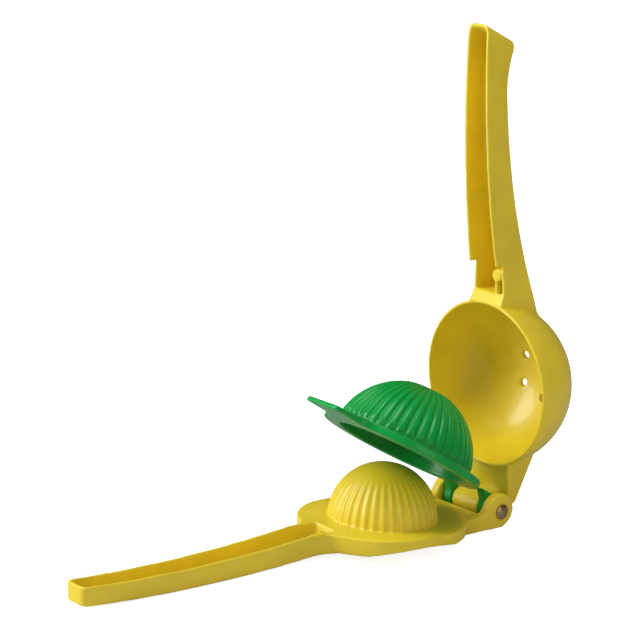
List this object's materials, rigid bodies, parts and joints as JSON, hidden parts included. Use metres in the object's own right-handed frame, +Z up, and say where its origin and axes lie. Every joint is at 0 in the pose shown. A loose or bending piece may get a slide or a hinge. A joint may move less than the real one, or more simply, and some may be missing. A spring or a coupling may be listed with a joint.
{
  "type": "hinged lemon squeezer",
  "caption": "Cast hand juicer: a fluted dome on a lower arm, a ribbed inner cup and a pierced bowl on an upper arm, all turning on one riveted pin.",
  "frame": {"origin": "middle of the part's footprint, on the table plane it rests on", "axes": "+Z up; the lower arm lies along X with its handle towards -X and the hinge towards +X; Y is the hinge pin's direction"},
  "size_m": [0.2508, 0.0764, 0.2197],
  "materials": {
    "yellow_enamel": "semi-gloss enamel over cast aluminium",
    "green_enamel": "glossy enamel over cast aluminium",
    "pin_steel": "riveted, slightly tarnished"
  },
  "bodies": {
    "press": {"press_arm": "yellow_enamel", "hinge_pin": "pin_steel"},
    "cup": {"inner_cup": "green_enamel"},
    "bowl": {"bowl_arm": "yellow_enamel"}
  },
  "joints": [
    {"name": "cup_hinge", "type": "hinge", "parent": "press", "child": "cup", "pos_m": [0.08513, 0, 0.007], "axis": [0, 1, 0], "range_deg": [-30, 13.4]},
    {"name": "bowl_hinge", "type": "hinge", "parent": "cup", "child": "bowl", "pos_m": [0.08513, 0, 0.007], "axis": [0, 1, 0], "range_deg": [-55.3, 34.7]}
  ]
}
